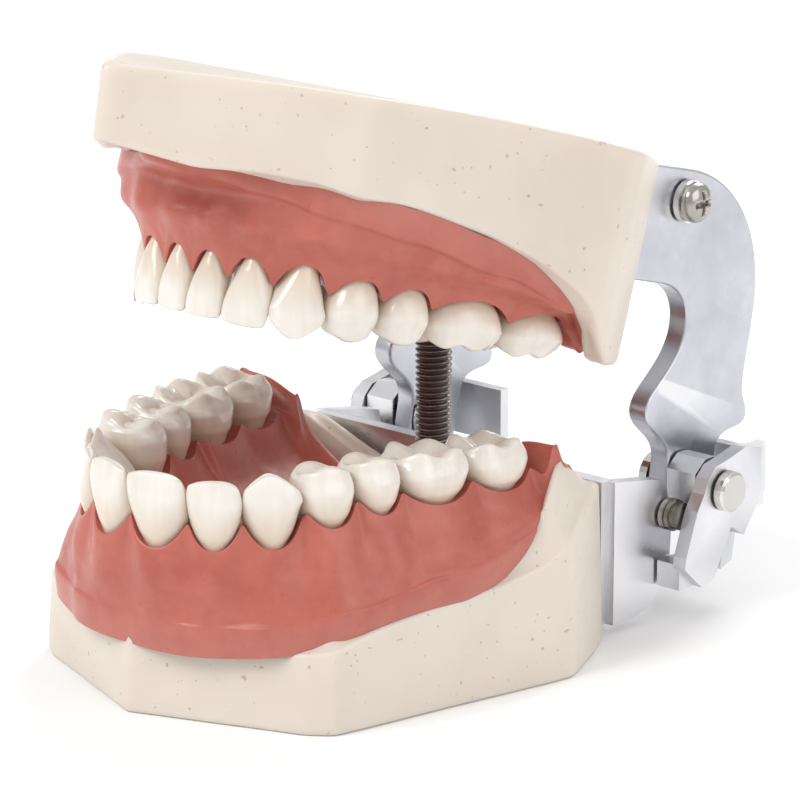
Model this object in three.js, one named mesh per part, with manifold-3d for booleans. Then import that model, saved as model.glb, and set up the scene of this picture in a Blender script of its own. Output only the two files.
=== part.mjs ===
// Typodont: a dental teaching model of two jaws on a metal hinge.
//
// Millimetres, +Z up. It stands as it is displayed, upside down: the upper (maxillary)
// jaw is at the bottom with its teeth pointing up, and the lower (mandibular) jaw is on
// top with its teeth pointing down. -Y is the front of the mouth, +Y the hinge.
// +X is the patient's right, -X the patient's left. The origin is on the flat underside
// of the bottom base, in the middle plane, below the front edge of the upper incisors.

import * as THREE from 'three';
import { mergeVertices } from 'three/addons/utils/BufferGeometryUtils.js';
import Module from 'manifold-3d';

const wasm = await Module();
wasm.setup();

// ---------------------------------------------------------------- driving dimensions

const fitGap = 0.3; // clearance kept between touching pieces
const jawHeight = 56.3; // closed model, underside to the front tip of the top face
const openAngle = THREE.MathUtils.degToRad(15.6); // how far the jaws stand open
const hingeY = 76.7;
const hingeZ = 16.5;

// hinge hardware, as distances from the middle plane
const upperArmInner = 20.4;
const upperArmThickness = 3;
const strapArmInner = 23.7;
const strapThickness = 2;
const earInner = 28.6;
const earThickness = 2;
const backWallInner = 14.6;
const backWallY = 85.5;
const backWallThickness = 1.6;

const hingePinRadius = 1.7;
const hingeHeadRadius = 2.65;
const hingeHeadHeight = 1.4;

// bite-stop rod
const stopRodY = 55;
const stopRodRadius = 2.4;
const stopRodBottom = 8;
const stopRodTop = 46.5;
const stopBossHeight = 16;
const stopNutHeight = 4;
const stopNutFlats = 7;

const upperBaseRearY = 58.9;
const lowerBaseRearY = 57;
const lowerBaseCrown = 1.9; // bow of the lower base's free face, front to back

// Teeth from the middle line backwards: crown width along the arch, crown depth across it,
// crown height above the gum, and tip height above the base plane of its own jaw.
const upperTeeth = [
  { name: 'central_incisor', kind: 'incisor', width: 8.2, depth: 6.6, height: 9.4, tip: 30.8 },
  { name: 'lateral_incisor', kind: 'incisor', width: 6.7, depth: 6.0, height: 8.8, tip: 30.3 },
  { name: 'canine', kind: 'canine', width: 7.5, depth: 7.6, height: 9.6, tip: 31.1 },
  { name: 'first_premolar', kind: 'premolar', width: 7.0, depth: 8.8, height: 7.6, tip: 31.1 },
  { name: 'second_premolar', kind: 'premolar', width: 6.5, depth: 8.8, height: 7.2, tip: 31.2 },
  { name: 'first_molar', kind: 'molar', width: 10.2, depth: 10.6, height: 6.8, tip: 30.9 },
  { name: 'second_molar', kind: 'molar', width: 9.6, depth: 10.4, height: 6.4, tip: 30.3 },
];
const lowerTeeth = [
  { name: 'central_incisor', kind: 'incisor', width: 5.3, depth: 5.6, height: 8.4, tip: 27.8 },
  { name: 'lateral_incisor', kind: 'incisor', width: 6.0, depth: 6.0, height: 8.6, tip: 27.9 },
  { name: 'canine', kind: 'canine', width: 7.0, depth: 7.2, height: 9.6, tip: 28.6 },
  { name: 'first_premolar', kind: 'premolar', width: 7.0, depth: 7.6, height: 8.0, tip: 27.6 },
  { name: 'second_premolar', kind: 'premolar', width: 7.0, depth: 8.0, height: 7.4, tip: 27.1 },
  { name: 'first_molar', kind: 'molar', width: 11.2, depth: 10.2, height: 6.8, tip: 26.8 },
  { name: 'second_molar', kind: 'molar', width: 10.2, depth: 9.8, height: 6.2, tip: 26.6 },
];

// Half of each arch: the line through the incisal edges and outer cusp tips.
const upperArch = [
  [0, 0],
  [4.1, 0.4],
  [10.4, 3.2],
  [15.3, 8.5],
  [18.8, 15.6],
  [20.6, 21.8],
  [23.2, 30],
  [24.9, 40],
  [25.5, 52.5],
];
const lowerArch = [
  [0, 3.8],
  [5.3, 4.5],
  [10, 6.1],
  [13, 8.8],
  [16.2, 14.4],
  [18.6, 21],
  [21.6, 29.3],
  [23.9, 39.6],
  [24.6, 53],
];

// Half outline of each base at its flat plane, with the height of the outer rim and of the
// ledge that meets the gum: [x, y, rim, ledge].
const upperOutline = [
  [0, -1.15, 9.9, 9.6],
  [3.4, 0.2, 10.9, 10.2],
  [10.3, 2.8, 9.4, 10.2],
  [16.4, 5.2, 9.4, 10.6],
  [21.6, 7.1, 10, 11.4],
  [24.6, 9.4, 10.4, 12],
  [26.2, 16, 12, 13.4],
  [28.2, 25.5, 13.1, 14.2],
  [30.2, 34, 13.9, 15.4],
  [31.8, 41, 15.4, 17.4],
  [32.4, 44.6, 17.6, 22.5],
  [30.7, 48.6, 19.4, 26.8],
  [28.6, 53.4, 20.2, 24.6],
  [26.1, 57.9, 21, 21.5],
  [22.5, 58.9, 20.6, 19.5],
  [14, 58.9, 17.6, 16.6],
  [8, 58.9, stopBossHeight, stopBossHeight],
  [0, 58.9, stopBossHeight, stopBossHeight],
];
const lowerOutline = [
  [0, -16.8, 9, 8.6],
  [1.2, -16, 9, 8.6],
  [7.8, -7.7, 10.1, 9.6],
  [12.5, -2.3, 9.4, 9.9],
  [17.7, 3.7, 9.5, 10.5],
  [21, 7.5, 10.3, 10.9],
  [22.6, 12.7, 10.2, 11.2],
  [24.5, 16.7, 10.6, 11.6],
  [27.4, 26.6, 12.3, 13.4],
  [29.8, 34.5, 15.3, 16.4],
  [31.1, 39.8, 18.3, 19],
  [31.9, 43.2, 25.4, 22.4],
  [31.2, 46.2, 25.8, 25.8],
  [28.4, 52.8, 25.8, 25.8],
  [26.1, 56.5, 25.6, 25.6],
  [23.5, 57, 25, 24],
  [14, 57, 12.4, 11],
  [0, 57, 12, 10],
];

// ---------------------------------------------------------------- solids and meshes

function toSolid(geometry) {
  const bare = geometry.index ? geometry.toNonIndexed() : geometry.clone();
  bare.deleteAttribute('normal');
  bare.deleteAttribute('uv');
  const merged = mergeVertices(bare, 1e-4);
  const mesh = new wasm.Mesh({
    numProp: 3,
    vertProperties: new Float32Array(merged.attributes.position.array),
    triVerts: new Uint32Array(merged.index.array),
  });
  mesh.merge();
  return new wasm.Manifold(mesh);
}

function toGeometry(solid) {
  const mesh = solid.getMesh();
  const geometry = new THREE.BufferGeometry();
  geometry.setAttribute('position', new THREE.BufferAttribute(new Float32Array(mesh.vertProperties), 3));
  geometry.setIndex(new THREE.BufferAttribute(new Uint32Array(mesh.triVerts), 1));
  geometry.computeVertexNormals();
  return geometry;
}

function cut(geometry, ...tools) {
  let solid = toSolid(geometry);
  for (const tool of tools) {
    solid = solid.subtract(toSolid(tool));
  }
  return toGeometry(solid);
}

function join(geometry, ...others) {
  let solid = toSolid(geometry);
  for (const other of others) {
    solid = solid.add(toSolid(other));
  }
  return toGeometry(solid);
}

// A closed skin over rings of equal point count, each ring anticlockwise seen from the end.
function loft(rings, endPoint) {
  const count = rings[0].length;
  const vertices = rings.flat();
  const faces = [];
  for (let level = 0; level + 1 < rings.length; level += 1) {
    for (let i = 0; i < count; i += 1) {
      const j = (i + 1) % count;
      const a = level * count + i;
      const b = level * count + j;
      faces.push(a, b, b + count, a, b + count, a + count);
    }
  }
  const last = (rings.length - 1) * count;
  for (const [a, b, c] of THREE.ShapeUtils.triangulateShape(flattened(rings[0]), [])) {
    faces.push(c, b, a);
  }
  if (endPoint) {
    vertices.push(endPoint);
    for (let i = 0; i < count; i += 1) {
      faces.push(last + i, last + ((i + 1) % count), vertices.length - 1);
    }
  } else {
    for (const [a, b, c] of THREE.ShapeUtils.triangulateShape(flattened(rings[rings.length - 1]), [])) {
      faces.push(last + a, last + b, last + c);
    }
  }
  return indexed(vertices, faces);
}

// A ring's points in its own plane, for filling it with triangles.
function flattened(ring) {
  const normal = new THREE.Vector3();
  ring.forEach((point, i) => {
    const next = ring[(i + 1) % ring.length];
    normal.add(new THREE.Vector3().crossVectors(point, next));
  });
  normal.normalize();
  const helper = Math.abs(normal.z) > 0.7 ? new THREE.Vector3(1, 0, 0) : new THREE.Vector3(0, 0, 1);
  const across = new THREE.Vector3().crossVectors(helper, normal).normalize();
  const along = new THREE.Vector3().crossVectors(normal, across);
  return ring.map((point) => new THREE.Vector2(point.dot(across), point.dot(along)));
}

function indexed(vertices, faces) {
  const geometry = new THREE.BufferGeometry();
  geometry.setAttribute('position', new THREE.Float32BufferAttribute(vertices.flatMap((p) => [p.x, p.y, p.z]), 3));
  geometry.setIndex(faces);
  return geometry;
}

// A sheet cut to an outline of [y, z] points, lying between two distances from the middle.
function sheet(outline, inner, outer) {
  const shape = new THREE.Shape(outline.map(([y, z]) => new THREE.Vector2(y, z)));
  const options = { depth: outer - inner, bevelEnabled: false, curveSegments: 6 };
  const geometry = new THREE.ExtrudeGeometry(shape, options);
  // the shape's plane becomes Y-Z and its depth becomes X
  const toSide = new THREE.Matrix4().makeBasis(
    new THREE.Vector3(0, 1, 0),
    new THREE.Vector3(0, 0, 1),
    new THREE.Vector3(1, 0, 0),
  );
  geometry.applyMatrix4(toSide);
  geometry.translate(inner, 0, 0);
  return geometry;
}

function box(low, high) {
  const size = high.map((value, axis) => value - low[axis]);
  const geometry = new THREE.BoxGeometry(...size);
  geometry.translate(...low.map((value, axis) => value + size[axis] / 2));
  return geometry;
}

// A turned piece along +X from [distance, radius] pairs, centred on (y, z).
function turned(profile, y, z, segments = 20) {
  const points = profile.map(([along, radius]) => new THREE.Vector2(radius, along));
  const geometry = new THREE.LatheGeometry(points, segments);
  geometry.rotateZ(-Math.PI / 2);
  geometry.translate(0, y, z);
  return geometry;
}

function cylinderAlongX(from, to, radius, y, z, segments = 20) {
  const profile = [
    [from, 0],
    [from, radius],
    [to, radius],
    [to, 0],
  ];
  return turned(profile, y, z, segments);
}

function cylinderAlongZ(from, to, radius, x, y, segments = 20) {
  const geometry = new THREE.CylinderGeometry(radius, radius, to - from, segments);
  geometry.rotateX(Math.PI / 2);
  geometry.translate(x, y, (from + to) / 2);
  return geometry;
}

function mirrored(geometry) {
  return toGeometry(toSolid(geometry).mirror([1, 0, 0]));
}

// ---------------------------------------------------------------- materials

const materials = {
  ivory: new THREE.MeshStandardMaterial({ color: 0xdcd2c4, roughness: 0.45, metalness: 0 }),
  gum: new THREE.MeshStandardMaterial({ color: 0xb75d4d, roughness: 0.5, metalness: 0 }),
  tooth: new THREE.MeshStandardMaterial({ color: 0xf0ebe2, roughness: 0.25, metalness: 0 }),
  aluminium: new THREE.MeshStandardMaterial({ color: 0xcdced4, roughness: 0.4, metalness: 1 }),
  nickel: new THREE.MeshStandardMaterial({ color: 0xb9b4a8, roughness: 0.25, metalness: 1 }),
  steel: new THREE.MeshStandardMaterial({ color: 0x5a524c, roughness: 0.35, metalness: 1 }),
};

function named(name, geometry, material) {
  const mesh = new THREE.Mesh(geometry, material);
  mesh.name = name;
  return mesh;
}

// ---------------------------------------------------------------- arches and teeth

// Points and directions along an arch line, by distance from the middle line.
function archLine(half) {
  const left = half.slice(1).reverse();
  const points = [...left.map(([x, y]) => [-x, y]), ...half];
  const curve = new THREE.CatmullRomCurve3(points.map(([x, y]) => new THREE.Vector3(x, y, 0)));
  curve.arcLengthDivisions = 400;
  const total = curve.getLength();
  return (distance) => {
    const u = THREE.MathUtils.clamp(0.5 + distance / total, 0, 1);
    const point = curve.getPointAt(u);
    const tangent = curve.getTangentAt(u);
    const outward = new THREE.Vector3(tangent.y, -tangent.x, 0);
    return { point, tangent, outward };
  };
}

const ringPoints = 12;
const socketDepth = 4.6;

// One crown ring: width along the arch, from outer to inner across it, at height z. Its
// inner side is narrower, so that neighbours on the curved arch stay clear of each other.
function toothRing({ width, outer, inner, z, narrowing = 0.14, cusps = 0, cuspHeight = 0 }) {
  const ring = [];
  for (let i = 0; i < ringPoints; i += 1) {
    const angle = ((i + 0.5) / ringPoints) * 2 * Math.PI;
    const squared = 0.8;
    const along = Math.sign(Math.cos(angle)) * Math.abs(Math.cos(angle)) ** squared;
    const across = Math.sign(Math.sin(angle)) * Math.abs(Math.sin(angle)) ** squared;
    const bump = cusps === 2 ? -Math.cos(2 * angle) : -Math.cos(4 * angle);
    const lift = cusps ? cuspHeight * bump : 0;
    const middle = (outer + inner) / 2;
    const reach = (outer - inner) / 2;
    const taper = 1 - (narrowing * (1 - across)) / 2;
    ring.push(new THREE.Vector3((along * width * taper) / 2, middle + across * reach, z + lift));
  }
  return ring;
}

// Rings of a tapered peg and of the lower crown, with the tip at z = 0 and the outer face
// near y = 0. A positive clearance gives the rings of the hole the tooth fits.
function toothFoot({ kind, width, depth, height }, clearance) {
  const front = kind === 'incisor' || kind === 'canine';
  const narrowing = front ? 0.34 : 0.14;
  const ring = (scale, outer, inner, z) => ({
    width: width * scale + 2 * clearance,
    outer: outer + clearance,
    inner: inner - clearance,
    z,
    narrowing,
  });
  const neck = -height + 0.4 - clearance;
  const rings = [
    ring(0.32, -depth * 0.28, -depth * 0.6, -height - socketDepth - clearance),
    ring(0.42, -depth * 0.18, -depth * 0.7, neck - 0.15),
  ];
  if (front) {
    rings.push(ring(0.7, 0.2, -depth * 0.9, neck));
    rings.push(ring(0.84, 0.8, -depth * 0.88, -height * 0.72));
    rings.push(ring(0.94, 0.9, -depth * 0.62, -height * 0.38));
  } else {
    rings.push(ring(0.78, 1.2, -depth * 0.82, neck));
    rings.push(ring(0.94, 1.9, -depth * 0.82, -height * 0.6));
    rings.push(ring(0.92, 1.3, -depth * 0.78, -height * 0.3));
  }
  return rings;
}

function toothGeometry(tooth) {
  const { kind, width, depth, height } = tooth;
  const rings = toothFoot(tooth, 0);
  if (kind === 'incisor' || kind === 'canine') {
    const edge = kind === 'canine' ? 0.5 : 0.84;
    rings.push(
      { width: width * 0.92, outer: 0.5, inner: -depth * 0.34, z: -height * 0.14, narrowing: 0.2 },
      { width: width * edge, outer: 0.1, inner: -depth * 0.14, z: -0.1 },
    );
    return loft(rings.map(toothRing));
  }
  const cusps = kind === 'molar' ? 4 : 2;
  const cuspHeight = kind === 'molar' ? 0.6 : 0.8;
  rings.push({ width: width * 0.7, outer: -0.2, inner: -depth * 0.6, z: -cuspHeight, cusps, cuspHeight });
  const fossa = new THREE.Vector3(0, -depth * 0.36, -1.9);
  return loft(rings.map(toothRing), fossa);
}

// The hole that a tooth sits in: its peg and lower crown, a little larger, open above.
function socketGeometry(tooth) {
  const rings = toothFoot(tooth, fitGap);
  const top = { ...rings[rings.length - 1], z: 3 };
  return loft([...rings, top].map(toothRing));
}

// Each tooth of one side with its place in the jaw.
function placedTeeth(teeth, line) {
  let distance = 0;
  return teeth.map((tooth) => {
    const middle = distance + tooth.width / 2;
    distance += tooth.width;
    const start = distance - tooth.width;
    return { ...tooth, middle, start, end: distance, place: line(middle) };
  });
}

function toothMatrix({ place, tip }) {
  const { point, tangent, outward } = place;
  const matrix = new THREE.Matrix4();
  matrix.makeBasis(tangent.clone().negate(), outward, new THREE.Vector3(0, 0, 1));
  matrix.setPosition(point.x, point.y, tip);
  return matrix;
}

function wholeArch(teeth, line) {
  const half = placedTeeth(teeth, line);
  const others = half.map((tooth) => ({ ...tooth, place: line(-tooth.middle) }));
  return { half, others, all: [...half, ...others] };
}

// ---------------------------------------------------------------- jaws

// Cross-sections of a gum ridge by distance from the middle line. Each gives [outward, up]
// points from the inner foot, over the crest, to the outer border.
const upperGumSections = [
  { at: 0, points: [[-10, 8], [-9, 15], [-6.8, 21.4], [1, 21.3], [1, 17], [0.5, 12.6], [0.3, 11.2]] },
  { at: 11, points: [[-10, 8], [-9.6, 15], [-6.9, 21.6], [1, 21.3], [1.6, 17], [1.6, 12.8], [1.9, 11.4]] },
  { at: 18.6, points: [[-10.5, 8], [-10, 15], [-8, 21.6], [1, 21.4], [3, 17], [4, 13], [4.6, 12]] },
  { at: 26, points: [[-12, 8], [-11.4, 15], [-9.4, 23.4], [1.6, 23.4], [3.9, 18.4], [5.4, 14], [6, 13.2]] },
  { at: 41, points: [[-13.5, 8], [-12.8, 15], [-11.4, 24], [2.3, 24], [4.6, 19.4], [5.6, 15.6], [6, 14.8]] },
  { at: 55.6, points: [[-13.5, 8], [-12.6, 15], [-11, 24], [2.3, 24], [4.4, 20.4], [4.8, 17.6], [5, 16.8]] },
  { at: 58.8, points: [[-12, 8], [-11, 18], [-8, 26.6], [1.2, 28.4], [2.6, 25.6], [3.2, 22.4], [3.4, 20]] },
  { at: 62, points: [[-9, 8], [-8.4, 15], [-6, 22], [-0.5, 26], [1.4, 25], [2, 22.4], [2, 20]] },
];
const lowerGumSections = [
  { at: 0, points: [[-8, 8], [-7, 14], [-6.2, 19.4], [1.8, 19.2], [5.2, 15.4], [4.6, 11.8], [14, 11]] },
  { at: 8, points: [[-8, 8], [-7.2, 14], [-6.4, 19.4], [1.8, 19.2], [5.2, 15.6], [4.8, 12], [11.5, 11.4]] },
  { at: 14.8, points: [[-9, 8], [-8.2, 14], [-7.6, 19.2], [1.6, 18.9], [4.8, 16], [4.9, 12.4], [8, 12]] },
  { at: 25, points: [[-10, 8], [-9, 14], [-8.2, 19.6], [1.8, 19.5], [4.5, 16.4], [5.3, 13.4], [6.8, 13]] },
  { at: 38, points: [[-12, 8], [-11.4, 14], [-10.6, 20], [2.2, 19.9], [4, 17.6], [4.4, 15.4], [5, 15]] },
  { at: 53.6, points: [[-12, 8], [-11.4, 14], [-10.4, 20.4], [2.2, 20.4], [3.6, 20.2], [4.2, 20], [4.6, 19.8]] },
  { at: 56.6, points: [[-10, 8], [-9, 16], [-7, 23], [0.4, 24], [2.4, 23.8], [3, 23.4], [3.2, 23]] },
  { at: 59.6, points: [[-8, 8], [-7, 14], [-5, 20], [0, 22], [1.4, 22], [1.8, 21.6], [2, 21]] },
];
const footDrop = 4; // how far the outer border carries on down into the base

function gumRing(sections, line, distance) {
  const d = Math.abs(distance);
  const next = Math.max(1, sections.findIndex(({ at }) => at >= d));
  const [before, after] = [sections[next - 1], sections[next]];
  const t = THREE.MathUtils.smoothstep(d, before.at, after.at);
  const { point, outward } = line(distance);
  const mixed = before.points.map(([out, up], i) => [
    THREE.MathUtils.lerp(out, after.points[i][0], t),
    THREE.MathUtils.lerp(up, after.points[i][1], t),
  ]);
  const [borderOut, borderUp] = mixed[mixed.length - 1];
  mixed.push([borderOut, borderUp - footDrop]);
  return mixed.map(([out, up]) => new THREE.Vector3(point.x + outward.x * out, point.y + outward.y * out, up));
}

function gumRidge(sections, line) {
  const end = sections[sections.length - 1].at;
  const stepCount = 26;
  const rings = [];
  for (let i = 0; i <= stepCount; i += 1) {
    rings.push(gumRing(sections, line, -end + (2 * end * i) / stepCount));
  }
  return loft(rings);
}

// The pink roof of the mouth: a shallow dish inside the upper arch.
function palate(line) {
  const reach = 52;
  const stepCount = 14;
  const ring = (inset, up) => {
    const points = [];
    for (let i = 0; i <= stepCount; i += 1) {
      const { point, outward } = line(-reach + (2 * reach * i) / stepCount);
      points.push(new THREE.Vector3(point.x - outward.x * inset, point.y - outward.y * inset, up));
    }
    return points;
  };
  return loft([ring(7, 8), ring(7, 15.6), ring(9.5, 13.6), ring(13, 12.4)]);
}

// The free face bows out by crown between its front and rear ends.
function baseBody(outline, floorHeight, floorInset, crown) {
  const other = outline.slice(1, -1).reverse();
  const points = [...outline, ...other.map(([x, y, rim, ledge]) => [-x, y, rim, ledge])];
  const centreY = 28;
  const [frontY, rearY] = [outline[0][1], outline[outline.length - 1][1]];
  const bow = (y) => {
    const fromMiddle = (2 * y - frontY - rearY) / (rearY - frontY);
    return crown * (1 - fromMiddle * fromMiddle);
  };
  const ring = (inset, height) => points.map(([x, y, rim, ledge]) => {
    const scale = 1 - inset / Math.hypot(x, y - centreY);
    return new THREE.Vector3(x * scale, centreY + (y - centreY) * scale, height(rim, ledge, y));
  });
  const draft = 0.7;
  const ledgeInset = 3.2;
  return loft([
    ring(0.5, (rim, ledge, y) => -bow(y)),
    ring(0, (rim, ledge, y) => 0.8 - bow(y)),
    ring(draft, (rim) => rim),
    ring(ledgeInset, (rim, ledge) => ledge),
    ring(floorInset, () => floorHeight),
  ]);
}

function largestBody(geometry) {
  const bodies = toSolid(geometry).decompose();
  bodies.sort((a, b) => b.volume() - a.volume());
  return toGeometry(bodies[0]);
}

function gumOnBase(gum, base, arch) {
  const lifted = base.clone().translate(0, 0, fitGap);
  const sockets = arch.all.map((tooth) => socketGeometry(tooth).applyMatrix4(toothMatrix(tooth)));
  return largestBody(cut(gum, lifted, ...sockets));
}

function toothMeshes(arch, jawName, halfSide, otherSide) {
  const group = new THREE.Group();
  for (const [list, side] of [[arch.half, halfSide], [arch.others, otherSide]]) {
    for (const tooth of list) {
      const mesh = named(`${jawName}_${side}_${tooth.name}`, toothGeometry(tooth), materials.tooth);
      mesh.applyMatrix4(toothMatrix(tooth));
      group.add(mesh);
    }
  }
  return group;
}

function upperJaw() {
  const group = new THREE.Group();
  const line = archLine(upperArch);
  const arch = wholeArch(upperTeeth, line);
  const boss = box([-7, 49, 1], [7, upperBaseRearY - 1, stopBossHeight]);
  const base = join(baseBody(upperOutline, 9, 9, 0), boss);
  const rodHole = cylinderAlongZ(1.5, stopBossHeight + 6, stopRodRadius + 0.4, 0, stopRodY);
  const gum = gumOnBase(join(gumRidge(upperGumSections, line), palate(line)), base, arch);
  group.add(named('maxillary_base', cut(base, rodHole), materials.ivory));
  group.add(named('maxillary_gum', gum, materials.gum));
  group.add(toothMeshes(arch, 'upper', 'right', 'left'));
  return group;
}

// Built with its teeth up, then turned over by the group that holds it.
function lowerJaw() {
  const group = new THREE.Group();
  const line = archLine(lowerArch);
  const arch = wholeArch(lowerTeeth, line);
  const base = baseBody(lowerOutline, 8.4, 9.5, lowerBaseCrown);
  const gum = gumOnBase(gumRidge(lowerGumSections, line), base, arch);
  group.add(named('mandibular_base', base, materials.ivory));
  group.add(named('mandibular_gum', gum, materials.gum));
  group.add(toothMeshes(arch, 'lower', 'left', 'right'));
  group.rotation.y = Math.PI;
  group.position.z = jawHeight;
  return group;
}

// ---------------------------------------------------------------- lower hinge hardware

const strapArmOutline = [
  [upperBaseRearY + fitGap + 1.2, 1.2],
  [64.5, 1.2],
  [67.9, 1.8],
  [70.6, 4.2],
  [71.8, 7],
  [72, 11],
  [71.2, 16],
  [70.8, 18.1],
  [67.8, 18.9],
  [upperBaseRearY + fitGap + 1.2, 20.2],
];
const earOutline = [
  [84.9, 20.8],
  [84.9, 14.4],
  [81, 9.5],
  [78.3, 11.2],
  [74.9, 5],
  [72.4, 4.4],
  [68.8, 7.6],
  [69, 9],
  [70.2, 12.2],
  [71.2, 14.8],
  [72.5, 16.8],
  [73.3, 18.6],
  [74.8, 20],
  [77.6, 20.5],
  [81, 21.3],
];

function lowerStrap() {
  const frontY = upperBaseRearY + fitGap;
  const reach = strapArmInner + strapThickness;
  const rear = box([-reach + 1.2, frontY, 1.2], [reach - 1.2, frontY + strapThickness, 20.2]);
  const arm = sheet(strapArmOutline, strapArmInner, reach);
  return join(rear, arm, mirrored(arm));
}

function clevis() {
  const earOuter = earInner + earThickness;
  const ear = sheet(earOutline, earInner, earOuter);
  const wall = box(
    [backWallInner, backWallY, 12],
    [earOuter - 1.5, backWallY + backWallThickness, 19.4],
  );
  const corner = new THREE.Shape();
  corner.moveTo(earInner, 84.2);
  corner.lineTo(earOuter, 84.2);
  corner.absarc(earOuter - 2.6, backWallY + backWallThickness - 2.6, 2.6, 0, Math.PI / 2, false);
  corner.lineTo(earOuter - 2.6, backWallY);
  corner.lineTo(earInner, backWallY - 0.6);
  const bend = new THREE.ExtrudeGeometry(corner, { depth: 6.2, bevelEnabled: false, curveSegments: 5 });
  bend.translate(0, 0, 14.4);
  // a flange bent inwards below the ear, and the foot that meets the strap
  const flange = box([-1.8, 0, 0], [0, 7.2, 5]);
  flange.rotateZ(THREE.MathUtils.degToRad(25));
  flange.rotateX(THREE.MathUtils.degToRad(-8));
  flange.translate(earOuter, 76.2, 6);
  const foot = box([strapArmInner + strapThickness + fitGap, 68.9, 4.6], [earInner + 1, 72.4, 8]);
  const pinHole = cylinderAlongX(earInner - 1, earOuter + 1, hingePinRadius + fitGap, hingeY, hingeZ);
  return cut(join(ear, wall, bend, flange, foot), pinHole);
}

function hingePin() {
  const headStart = earInner + earThickness + fitGap;
  const edge = 0.35;
  const tip = upperArmInner - 1.9;
  return turned(
    [
      [tip, 0],
      [tip, hingePinRadius - edge],
      [tip + edge, hingePinRadius],
      [headStart, hingePinRadius],
      [headStart, hingeHeadRadius],
      [headStart + hingeHeadHeight - edge, hingeHeadRadius],
      [headStart + hingeHeadHeight, hingeHeadRadius - edge],
      [headStart + hingeHeadHeight, 0],
    ],
    hingeY,
    hingeZ,
    24,
  );
}

function knuckleBlock() {
  const shape = new THREE.Shape();
  shape.moveTo(73.5, 13.4);
  shape.lineTo(80, 13.4);
  shape.lineTo(80, 17.4);
  shape.absarc(77, 17.4, 3, 0, Math.PI / 2, false);
  shape.lineTo(75.6, 20.4);
  shape.lineTo(73.5, 18.8);
  const outline = shape.getPoints(5).map(({ x, y }) => [x, y]);
  const from = upperArmInner + upperArmThickness + fitGap;
  const body = sheet(outline, from, earInner - fitGap);
  return cut(body, cylinderAlongX(from - 1, earInner + 1, hingePinRadius + fitGap, hingeY, hingeZ));
}

function retainingRing() {
  const to = upperArmInner - fitGap;
  const from = to - 1.2;
  const body = cylinderAlongX(from, to, 3, hingeY, hingeZ, 24);
  return cut(body, cylinderAlongX(from - 1, to + 1, hingePinRadius + fitGap, hingeY, hingeZ));
}

function standOffPin() {
  const from = strapArmInner + strapThickness + fitGap;
  const to = earInner - fitGap;
  return turned(
    [
      [from, 0],
      [from, 2.1],
      [from + 0.7, 2.1],
      [from + 0.8, 1.9],
      [from + 0.9, 2.1],
      [from + 1.3, 2.1],
      [from + 1.4, 1.8],
      [to, 1.8],
      [to, 0],
    ],
    70.9,
    13.8,
  );
}

// A round-headed screw along +X with its head's flat side at 0.
function panScrew(headRadius, headHeight, shankRadius, shankLength) {
  return turned(
    [
      [-shankLength, 0],
      [-shankLength, shankRadius],
      [0, shankRadius],
      [0, headRadius],
      [headHeight * 0.4, headRadius],
      [headHeight * 0.8, headRadius * 0.82],
      [headHeight, headRadius * 0.5],
      [headHeight, 0],
    ],
    0,
    0,
  );
}

const strapScrewX = 12;
const strapScrewZ = 9;

function strapScrew(x) {
  const screw = panScrew(2.9, 1.8, 1.4, 1.4).rotateZ(Math.PI / 2);
  return screw.translate(x, upperBaseRearY + strapThickness + 2 * fitGap, strapScrewZ);
}

function lowerHardware() {
  const group = new THREE.Group();
  const holes = [-strapScrewX, strapScrewX].map((x) => {
    const hole = cylinderAlongX(-4, 4, 1.7, 0, 0).rotateZ(Math.PI / 2);
    return hole.translate(x, upperBaseRearY + fitGap + 1, strapScrewZ);
  });
  group.add(named('lower_strap', cut(lowerStrap(), ...holes), materials.aluminium));
  const paired = [
    ['clevis', clevis(), materials.aluminium],
    ['hinge_pin', hingePin(), materials.nickel],
    ['knuckle_block', knuckleBlock(), materials.aluminium],
    ['retaining_ring', retainingRing(), materials.nickel],
    ['stand_off_pin', standOffPin(), materials.steel],
  ];
  for (const [name, geometry, material] of paired) {
    group.add(named(`${name}_right`, geometry, material));
    group.add(named(`${name}_left`, mirrored(geometry), material));
  }
  group.add(named('strap_screw_right', strapScrew(strapScrewX), materials.nickel));
  group.add(named('strap_screw_left', strapScrew(-strapScrewX), materials.nickel));
  return group;
}

// ---------------------------------------------------------------- bite-stop rod

function stopRod() {
  const edge = 0.7;
  const profile = [
    [stopRodBottom, 0],
    [stopRodBottom, stopRodRadius - edge],
    [stopRodBottom + edge, stopRodRadius],
    [stopRodTop - edge, stopRodRadius],
    [stopRodTop, stopRodRadius - edge],
    [stopRodTop, 0],
  ];
  const rod = turned(profile, 0, 0).rotateY(-Math.PI / 2);
  return rod.translate(0, stopRodY, 0);
}

function stopNut() {
  const bottom = stopBossHeight + fitGap;
  const nut = new THREE.CylinderGeometry(
    stopNutFlats / Math.sqrt(3),
    stopNutFlats / Math.sqrt(3),
    stopNutHeight,
    6,
  );
  nut.rotateX(Math.PI / 2);
  nut.rotateZ(Math.PI / 6);
  nut.translate(0, stopRodY, bottom + stopNutHeight / 2);
  return cut(nut, cylinderAlongZ(bottom - 1, bottom + stopNutHeight + 1, stopRodRadius + 0.3, 0, stopRodY));
}

// ---------------------------------------------------------------- upper hinge hardware

const channelThickness = 2;
const channelY = lowerBaseRearY + fitGap;
const armScrewY = 66.6;
const armScrewZ = 52.1;
const channelScrewX = 10;
const channelScrewZ = 49;

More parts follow.
